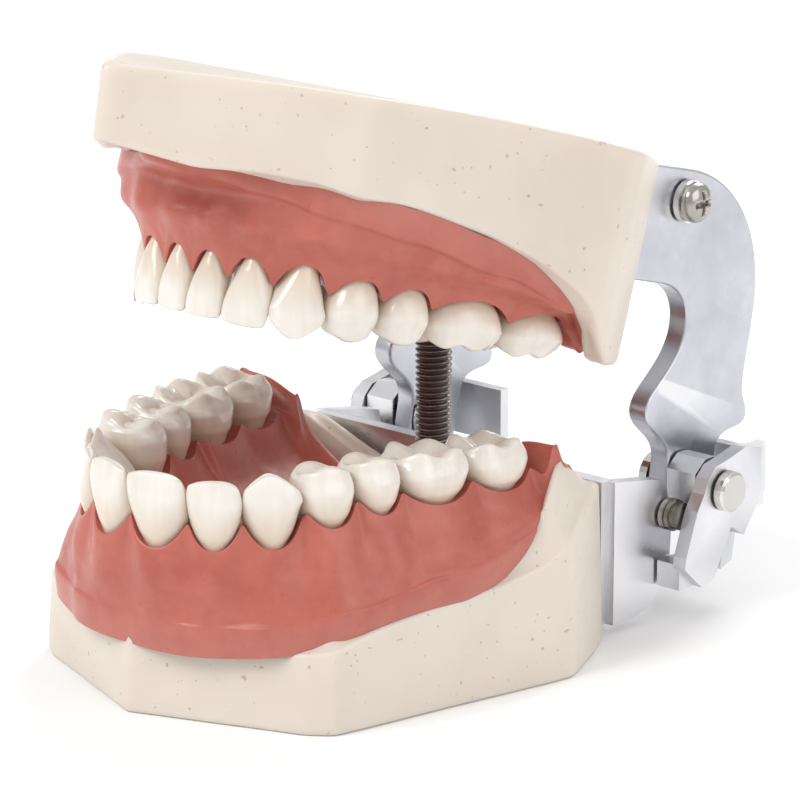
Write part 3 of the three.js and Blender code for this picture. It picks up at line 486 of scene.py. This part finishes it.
def make_gum(name, teeth, sections, line, material, top, node):
    end = sections[-1][0]
    spans = np.linspace(-end, end, 301)
    rows, thin = [], []
    for d in spans:
        outer, crest, inner_pts = gum_profile(teeth, sections, d)
        p, _, out = line(d)
        flat = np.vstack([outer, crest])
        xyz = np.column_stack([p + flat[:, :1] * out, flat[:, 1]])
        if top:
            inn = catmull(inner_pts, 14)
            inn3 = np.column_stack([p + inn[:, :1] * out, inn[:, 1]])
        else:
            # the inner side runs into the roof of the mouth and meets the middle line
            q = palate_point(d, end, 9.5, 50.5)
            a = inner_pts
            pts = [np.array([*(p + v[0] * out), v[1]]) for v in (a[0], a[1])]
            side = a[2] + np.array([-.2, -.3])
            pts.append(np.array([*(p + side[0] * out), side[1]]))
            b = pts[-1]
            pts.append(b * .62 + q * .38 + np.array([0, 0, -1.2]))
            pts.append(b * .28 + q * .72 + np.array([0, 0, -.7]))
            pts.append(q)
            inn3 = catmull(pts, 26)
            # low folds across the front of the roof
            for k, v in enumerate(inn3):
                aside = abs(v[0])
                wave = math.sin(v[1] * 1.55 + aside * .35)
                near_front = math.exp(-((v[1] - 14) / 6) ** 2)
                fold = wave * near_front * smoothstep(aside, .8, 2.2) * (1 - smoothstep(aside, 7, 10))
                inn3[k, 2] += .28 * fold
            inn3[-1] = q
        row = np.vstack([xyz, inn3])
        rows.append(row)
        t = np.zeros(len(row))
        t[:6] = np.linspace(1, .1, 6)
        thin.append(t)
    cols = len(rows[0])
    verts = np.concatenate(rows)
    faces = loft_faces(len(rows), cols, closed=False, first_cap=False, last_cap=False)
    # a skirt drops into the base at each end of the ridge
    for i in (0, len(rows) - 1):
        n0 = len(verts)
        skirt = rows[i].copy()
        skirt[:, 2] = np.minimum(skirt[:, 2], 8.5)
        verts = np.vstack([verts, skirt])
        for c in range(cols - 1):
            faces.append((i * cols + c, i * cols + c + 1, n0 + c + 1, n0 + c))
        thin.append(np.zeros(cols))
    t = np.concatenate(thin)
    verts = to_rest(verts) if top else verts
    o = piece(name, verts, faces, material, JAW if top else STAND, [node],
              attrs={"thin": t})
    subdivide(o, 1, 1)
    return o


# ------------------------------------------------------------------ bases
def dense_outline(outline, step=.55, fillet=.7):
    """The whole outline with rounded corners and evenly spaced points: x, y, rim, ledge."""
    half = np.array(outline, float)
    other = half[1:-1][::-1].copy()
    other[:, 0] *= -1
    pts = np.vstack([half, other])
    n = len(pts)
    out = []
    for i in range(n):
        a, b, c = pts[i - 1], pts[i], pts[(i + 1) % n]
        la, lc = np.linalg.norm((a - b)[:2]), np.linalg.norm((c - b)[:2])
        ra, rc = min(fillet, la * .42), min(fillet, lc * .42)
        pa, pc = b + (a - b) * ra / la, b + (c - b) * rc / lc
        for t in np.linspace(0, 1, 6):
            out.append((1 - t) ** 2 * pa + 2 * t * (1 - t) * b + t * t * pc)
    out = np.array(out)
    closed = np.vstack([out, out[:1]])
    seg = np.linalg.norm(np.diff(closed[:, :2], axis=0), axis=1)
    along = np.concatenate([[0], np.cumsum(seg)])
    count = int(along[-1] / step)
    ds = np.linspace(0, along[-1], count, endpoint=False)
    res = np.column_stack([np.interp(ds, along, closed[:, k]) for k in range(4)])
    for k in (2, 3):  # soften the height changes
        v = res[:, k].copy()
        for _ in range(5):
            v = .5 * v + .25 * (np.roll(v, 1) + np.roll(v, -1))
        res[:, k] = v
    return res


def make_base(name, outline, floor, floor_inset, crown, material, top, node):
    o4 = dense_outline(outline)
    x, y, rim, ledge = o4.T
    cy = 28.0
    front, rear = outline[0][1], outline[-1][1]
    bow = crown * (1 - ((2 * y - front - rear) / (rear - front)) ** 2)

    def ring(inset, z):
        s = 1 - inset / np.hypot(x, y - cy)
        return np.column_stack([x * s, cy + (y - cy) * s, z])
    rows = []
    for inset, z in ((14, 0), (6, 0), (1.0, 0), (.5, .03), (.22, .16), (.05, .42), (0, .9)):
        rows.append(ring(inset, z - bow))
    for f in (.2, .4, .6, .8):
        rows.append(ring(.62 * f, .9 - bow + (rim - .8 - .9 + bow) * f))
    for inset, dz in ((.66, -.7), (.74, -.3), (.92, -.08), (1.2, 0)):
        rows.append(ring(inset, rim + dz))
    for f in (.25, .5, .75, 1):
        rows.append(ring(1.2 + (3.4 - 1.2) * f, rim + (ledge - rim) * smoothstep(f, 0, 1)))
    rows.append(ring(3.9, ledge - .25))
    for f in (.3, .65, .95):
        rows.append(ring(3.9 + (floor_inset - 3.9) * f, ledge - .25 + (floor - ledge + .25) * f))
    rows.append(ring(floor_inset + .3, np.full(len(x), floor)))
    rows.append(ring(floor_inset + 6, np.full(len(x), floor)))
    verts = np.concatenate(rows)
    faces = loft_faces(len(rows), len(x))
    verts = to_rest(verts) if top else verts
    return piece(name, verts, faces, material, JAW if top else STAND, [node])


def stop_boss(material):
    """The block behind the palate that the stop rod stands in."""
    n = 64
    th = np.arange(n) / n * 2 * math.pi
    c, s = spow(np.cos(th), .32), spow(np.sin(th), .32)
    rows = []
    for r, z in ((1, 8.4), (1, 12), (1, 15.2), (.985, 15.6), (.95, 15.85), (.88, 15.95), (.5, 15.96)):
        depth = BOSS_DEPTH - BOSS_WIDTH * (1 - r)
        rows.append(np.column_stack([BOSS_WIDTH * r * c, BOSS_Y + depth * s, np.full(n, z)]))
    return piece("stop_boss", np.concatenate(rows), loft_faces(len(rows), n), material, STAND)


# ------------------------------------------------------------------ metal parts
def bezier(p0, p1, p2, p3, count=22):
    t = np.linspace(0, 1, count)[1:, None]
    p0, p1, p2, p3 = map(np.array, (p0, p1, p2, p3))
    return (1 - t) ** 3 * p0 + 3 * t * (1 - t) ** 2 * p1 + 3 * t * t * (1 - t) * p2 + t ** 3 * p3


def arm_outline():
    pts = [np.array([57.3, 56.0]), np.array([67.5, 56.2])]

    def curve(*rest):
        pts.extend(bezier(pts[-1], *rest))
    curve((77.5, 56.1), (85.4, 49.6), (86, 38.5))
    curve((86.4, 34), (86, 30.5), (87, 28.4))
    curve((87.6, 27.6), (88.5, 26.8), (88.5, 25.6))
    curve((88.5, 24.2), (86.4, 24), (85.2, 23.4))
    curve((84.3, 23), (83.3, 22.3), (83.2, 21.2))
    for a in np.linspace(0, -math.pi, 40):
        pts.append(np.array([78.6 + 4.9 * math.cos(a), 15.6 + 4.9 * math.sin(a)]))
    pts.append(np.array([73.4, 18.6]))
    curve((72.8, 21.6), (69, 21.6), (67.3, 23.6))
    curve((66.3, 25), (67, 26.4), (68, 27.8))
    curve((70.5, 31), (71.9, 33), (71.9, 35.6))
    curve((71.9, 39), (69.4, 41.2), (65.4, 41.2))
    pts.append(np.array([57.3, 41.2]))
    return np.array(pts)


def hinge_arm(side, material):
    line = arm_outline()
    n = len(line)
    x0, x1 = 20.4, 23.4
    verts = np.vstack([np.column_stack([np.full(n, x), line]) for x in (x0, x1)])
    verts[:, 0] *= side
    word = "right" if side > 0 else "left"
    o = piece(f"swing_arm_{word}", swing(verts), loft_faces(2, n), material, JAW,
              [f"hinge_arm_{word}"])
    bevel(o, .38, 4, 30)
    return o


def threaded_rod(material):
    pitch, crest, root = .8, 2.4, 1.98
    low, high = ROD_BOTTOM, ROD_TOP
    n, per = 36, 8  # points round the rod, rings to a turn
    zs = np.arange(low, high, pitch / per)
    th = np.arange(n) / n * 2 * math.pi
    rows = [np.zeros((n, 3)) + (0, ROD_Y, low)]
    rows[0][:, 0], rows[0][:, 1] = 1.7 * np.cos(th), ROD_Y + 1.7 * np.sin(th)
    for z in zs:
        phase = (z / pitch - th / (2 * math.pi)) % 1
        tri = np.abs(phase * 2 - 1)
        r = root + (crest - root) * np.clip(tri * 1.35 - .12, 0, 1)
        taper = min(z - low, high - z)
        r = np.minimum(r, 1.75 + max(taper, 0) * .9)
        rows.append(np.column_stack([r * np.cos(th), ROD_Y + r * np.sin(th), np.full(n, z)]))
    for r, z in ((1.7, high), (.3, high)):
        rows.append(np.column_stack([r * np.cos(th), ROD_Y + r * np.sin(th), np.full(n, z)]))
    return piece("threaded_rod", np.concatenate(rows), loft_faces(len(rows), n), material, "stop_rod",
                 ["stop_rod"])


def screw_head(name, radius, height, place, material, body, node, turn=.4):
    """A pan head with a cross cut into it. place maps its points, axis along +Z, to the row frame."""
    n, rings = 72, 20
    th = np.arange(n) / n * 2 * math.pi
    rows = [np.column_stack([radius * np.cos(th), radius * np.sin(th), np.zeros(n)]),
            np.column_stack([radius * np.cos(th), radius * np.sin(th), np.full(n, height * .32)])]
    for k in range(1, rings):
        r = radius * (1 - k / rings)
        x, y = r * np.cos(th), r * np.sin(th)
        z = height * (.32 + .68 * (1 - (r / radius) ** 2.6) ** .6)
        xr, yr = x * math.cos(turn) - y * math.sin(turn), x * math.sin(turn) + y * math.cos(turn)
        arm = np.minimum(np.abs(xr), np.abs(yr))
        reach = np.maximum(np.abs(xr), np.abs(yr))
        cross = (1 - smoothstep(arm, .28, .46)) * (1 - smoothstep(reach, radius * .5, radius * .62))
        rows.append(np.column_stack([x, y, z - cross * height * .62]))
    pts = place(np.concatenate(rows))
    return piece(name, pts, loft_faces(len(rows), n), material, body, [node])


# ------------------------------------------------------------------ materials
class Nodes:
    def __init__(self, name):
        self.m = bpy.data.materials.new(name)
        self.m.use_nodes = True
        self.t = self.m.node_tree
        self.bsdf = self.t.nodes["Principled BSDF"]
        self.co = self.add("ShaderNodeTexCoord").outputs["Object"]

    def add(self, kind, **props):
        n = self.t.nodes.new(kind)
        for k, v in props.items():
            setattr(n, k, v)
        return n

    def link(self, a, b):
        self.t.links.new(a, b)

    def set(self, **values):
        for k, v in values.items():
            self.bsdf.inputs[k.replace("_", " ")].default_value = v

    def noise(self, scale, detail=3, rough=.5, stretch=None, distortion=0):
        n = self.add("ShaderNodeTexNoise")
        n.inputs["Scale"].default_value = scale
        n.inputs["Detail"].default_value = detail
        n.inputs["Roughness"].default_value = rough
        n.inputs["Distortion"].default_value = distortion
        src = self.co
        if stretch:
            mp = self.add("ShaderNodeMapping")
            mp.inputs["Scale"].default_value = stretch
            self.link(src, mp.inputs["Vector"])
            src = mp.outputs["Vector"]
        self.link(src, n.inputs["Vector"])
        return n.outputs["Fac"]

    def ramp(self, fac, a, b, ca, cb):
        r = self.add("ShaderNodeValToRGB")
        r.color_ramp.elements[0].position, r.color_ramp.elements[1].position = a, b
        r.color_ramp.elements[0].color, r.color_ramp.elements[1].color = (*ca, 1), (*cb, 1)
        self.link(fac, r.inputs["Fac"])
        return r.outputs["Color"]

    def mix(self, fac, a, b, mode="MIX"):
        n = self.add("ShaderNodeMix", data_type="RGBA", blend_type=mode)
        for sock, v in ((n.inputs[0], fac), (n.inputs[6], a), (n.inputs[7], b)):
            if isinstance(v, bpy.types.NodeSocket):
                self.link(v, sock)
            else:
                sock.default_value = v if isinstance(v, (int, float)) else (*v, 1)
        return n.outputs[2]

    def map(self, fac, a, b, lo, hi):
        n = self.add("ShaderNodeMapRange")
        for k, v in zip(("From Min", "From Max", "To Min", "To Max"), (a, b, lo, hi)):
            n.inputs[k].default_value = v
        self.link(fac, n.inputs["Value"])
        return n.outputs["Result"]

    def attr(self, name):
        return self.add("ShaderNodeAttribute", attribute_name=name).outputs["Fac"]

    def bump(self, height, strength, distance, after=None):
        n = self.add("ShaderNodeBump")
        n.inputs["Strength"].default_value = strength
        n.inputs["Distance"].default_value = distance
        self.link(height, n.inputs["Height"])
        if after is not None:
            self.link(after, n.inputs["Normal"])
        self.link(n.outputs["Normal"], self.bsdf.inputs["Normal"])
        return n.outputs["Normal"]


def srgb(r, g, b):
    return tuple(((v / 255 + .055) / 1.055) ** 2.4 if v > 10 else v / 255 / 12.92 for v in (r, g, b))


def enamel():
    n = Nodes("tooth_enamel")
    cloud = n.mix(n.map(n.noise(160, 3), .35, .65, 0, 1), srgb(230, 225, 218), srgb(222, 215, 205))
    bands = n.mix(n.map(n.noise(900, 2, stretch=(1, 1, .12)), .4, .7, 0, .35), cloud, srgb(240, 237, 231))
    # tan by the per-point attribute: the neck's own tint, with painted shade at the crowns' sides and along
    # the chewing face's groove
    toned = n.mix(n.map(n.attr("neck_tint_and_painted_shade"), 0, 1.3, 0, .75), bands, srgb(206, 178, 140))
    n.link(toned, n.bsdf.inputs["Base Color"])
    n.link(n.map(n.noise(700, 3), .3, .7, .13, .24), n.bsdf.inputs["Roughness"])
    n.set(Subsurface_Weight=.28, Subsurface_Radius=(1, .72, .45), Subsurface_Scale=.0016, IOR=1.55,
          Coat_Weight=.35, Coat_Roughness=.06)
    n.bump(n.noise(1500, 3, stretch=(1, 1, .35)), .12, .0001, None)
    return n.m


def gum():
    n = Nodes("gum_silicone")
    base = n.mix(n.map(n.noise(130, 3, .55), .35, .68, 0, 1), srgb(186, 103, 88), srgb(173, 88, 75))
    patch = n.mix(n.map(n.noise(420, 4, .6), .42, .72, 0, .4), base, srgb(193, 112, 98))
    thin = n.mix(n.map(n.attr("thin"), 0, 1, 0, .28), patch, srgb(196, 140, 132))
    n.link(thin, n.bsdf.inputs["Base Color"])
    n.link(n.map(n.noise(500, 3), .3, .7, .27, .42), n.bsdf.inputs["Roughness"])
    n.set(Subsurface_Weight=.15, Subsurface_Radius=(1, .22, .14), Subsurface_Scale=.002, IOR=1.42,
          Coat_Weight=.12, Coat_Roughness=.25)
    soft = n.bump(n.noise(260, 3, .5), .35, .0005)
    n.bump(n.noise(1900, 2, .6), .16, .00012, soft)
    return n.m


def resin():
    n = Nodes("base_resin")
    cloud = n.mix(n.map(n.noise(55, 3), .35, .65, 0, 1), srgb(222, 211, 199), srgb(214, 202, 189))
    specks = n.map(n.noise(1350, 1, .3), .745, .78, 0, .5)
    col = n.mix(specks, cloud, srgb(150, 126, 98))
    n.link(col, n.bsdf.inputs["Base Color"])
    n.link(n.map(n.noise(380, 4), .3, .7, .33, .5), n.bsdf.inputs["Roughness"])
    n.set(Subsurface_Weight=.25, Subsurface_Radius=(1, .75, .5), Subsurface_Scale=.0035, IOR=1.49,
          Coat_Weight=.12, Coat_Roughness=.25)
    soft = n.bump(n.noise(190, 3), .3, .0004)
    n.bump(n.noise(2400, 3, .7), .14, .0001, soft)
    return n.m


def metal(name, light, dark, rough, brushed, highlight_colour=None):
    n = Nodes(name)
    col = n.mix(n.map(n.noise(90, 4, .6), .35, .7, 0, 1), light, dark)
    if highlight_colour is not None:
        # painted highlight: convex edges, found by pointiness, are lightened towards a paler colour
        painted_edge_highlight = n.map(n.add("ShaderNodeNewGeometry").outputs["Pointiness"], .53, .6, 0, .8)
        col = n.mix(painted_edge_highlight, col, highlight_colour)
    n.link(col, n.bsdf.inputs["Base Color"])
    n.link(n.map(n.noise(260, 4, .6), .3, .7, rough * .75, rough * 1.25), n.bsdf.inputs["Roughness"])
    n.set(Metallic=1.0)
    grain = n.noise(2200, 2, .6, stretch=brushed)
    soft = n.bump(n.noise(120, 2), .18, .0004)
    n.bump(grain, .10, .00006, soft)
    return n.m


def dress(names, material, width, segments=3, angle=35):
    """Bevels nodes of the frame that are kept as they are and gives them a material."""
    for name in names:
        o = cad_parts[name]
        o.data.materials.clear()
        o.data.materials.append(material)
        if width:
            bevel(o, width, segments, angle)


ENAMEL, GUM, RESIN = enamel(), gum(), resin()
# the last colour given to each metal is its painted edge highlight
ALUMINIUM = metal("brushed_aluminium", srgb(206, 207, 213), srgb(188, 189, 196), .34, (.08, 1, 1),
                  srgb(236, 236, 238))
NICKEL = metal("plated_nickel", srgb(190, 187, 181), srgb(160, 155, 148), .22, (1, 1, 1),
               srgb(240, 238, 234))
STEEL = metal("dark_rod_steel", srgb(128, 122, 117), srgb(92, 86, 81), .3, (1, 1, 1), srgb(190, 184, 176))

make_teeth(UPPER_TEETH, arch_line(UPPER_ARCH), "upper", ENAMEL, False)
make_teeth(LOWER_TEETH, arch_line(LOWER_ARCH), "lower", ENAMEL, True)
make_gum("upper_gum", UPPER_TEETH, UPPER_GUM, arch_line(UPPER_ARCH), GUM, False, "maxillary_gum")
make_gum("lower_gum", LOWER_TEETH, LOWER_GUM, arch_line(LOWER_ARCH), GUM, True, "mandibular_gum")
make_base("upper_base", UPPER_OUTLINE, 9.0, 9.0, 0.0, RESIN, False, "maxillary_base")
make_base("lower_base", LOWER_OUTLINE, 8.4, 9.5, CROWN, RESIN, True, "mandibular_base")
stop_boss(RESIN)
for side in (1, -1):
    word = "right" if side > 0 else "left"
    hinge_arm(side, ALUMINIUM)
    screw_head(f"arm_screw_head_{word}", 2.6, 1.9,
               lambda p, s=side: swing(np.column_stack([s * (24.8 + p[:, 2]), 66.6 + p[:, 0],
                                                        52.1 + p[:, 1]])),
               NICKEL, JAW, f"arm_screw_{word}", .3 + side)
    screw_head(f"channel_screw_head_{word}", 2.9, 1.8,
               lambda p, s=side: swing(np.column_stack([10 * s + p[:, 0], 59.6 + p[:, 2], 49 + p[:, 1]])),
               NICKEL, JAW, f"channel_screw_{word}", .9 * side)
    screw_head(f"strap_screw_head_{word}", 2.9, 1.8,
               lambda p, s=side: np.column_stack([12 * s + p[:, 0], 61.5 + p[:, 2], 9 + p[:, 1]]),
               NICKEL, STAND, f"strap_screw_{word}", .5 - side)
threaded_rod(STEEL)
dress(["lower_strap", "upper_channel"], ALUMINIUM, .5)
dress(["clevis_right", "clevis_left"], ALUMINIUM, .32)
dress(["knuckle_block_right", "knuckle_block_left"], ALUMINIUM, .4)
dress(["hinge_pin_right", "hinge_pin_left", "retaining_ring_right", "retaining_ring_left"], NICKEL, .12, 2,
      25)
dress(["split_washer_right", "split_washer_left", "stop_nut"], NICKEL, .18, 2)
dress(["stand_off_pin_right", "stand_off_pin_left"], STEEL, .08, 2)


# ------------------------------------------------------------------ studio
def floor():
    mesh = bpy.data.meshes.new("floor")
    s = 3.0
    mesh.from_pydata([(-s, -s, 0), (s, -s, 0), (s, s, 0), (-s, s, 0)], [], [(0, 1, 2, 3)])
    n = Nodes("floor_paper")
    n.link(n.mix(n.map(n.noise(6, 2), .3, .7, 0, 1), (.97, .97, .97), (.95, .95, .95)),
           n.bsdf.inputs["Base Color"])
    n.set(Roughness=.9)
    mesh.materials.append(n.m)
    o = bpy.data.objects.new("floor", mesh)
    bpy.context.scene.collection.objects.link(o)


def area(name, at, aim, size, power, colour=(1, 1, 1)):
    light = bpy.data.lights.new(name, "AREA")
    light.size, light.energy, light.color = size, power, colour
    o = bpy.data.objects.new(name, light)
    o.location = at
    o.rotation_euler = (Vector(aim) - Vector(at)).to_track_quat("-Z", "Y").to_euler()
    bpy.context.scene.collection.objects.link(o)


floor()
area("key", (-.25, -.75, .85), (0, .03, .04), .6, 6.5)
area("fill", (.85, .1, .5), (0, .03, .04), .7, 2)
area("back", (-.2, .8, .7), (0, .05, .04), .5, 4)
world = bpy.data.worlds.new("studio")
world.use_nodes = True
world.node_tree.nodes["Background"].inputs["Color"].default_value = (1, 1, 1, 1)
world.node_tree.nodes["Background"].inputs["Strength"].default_value = .7
bpy.context.scene.world = world
bpy.context.scene.view_settings.view_transform = "Standard"

camera = bpy.data.cameras.new("camera")
camera.lens, camera.sensor_width = 189, 36
camera.clip_start, camera.clip_end = .01, 20
eye = bpy.data.objects.new("camera", camera)
eye.location = Vector((342.6, -334.7, 175.1)) * MM
look = Vector((21.03, 25, 37.67)) * MM
eye.rotation_euler = (look - eye.location).to_track_quat("-Z", "Y").to_euler()
bpy.context.scene.collection.objects.link(eye)
bpy.context.scene.camera = eye
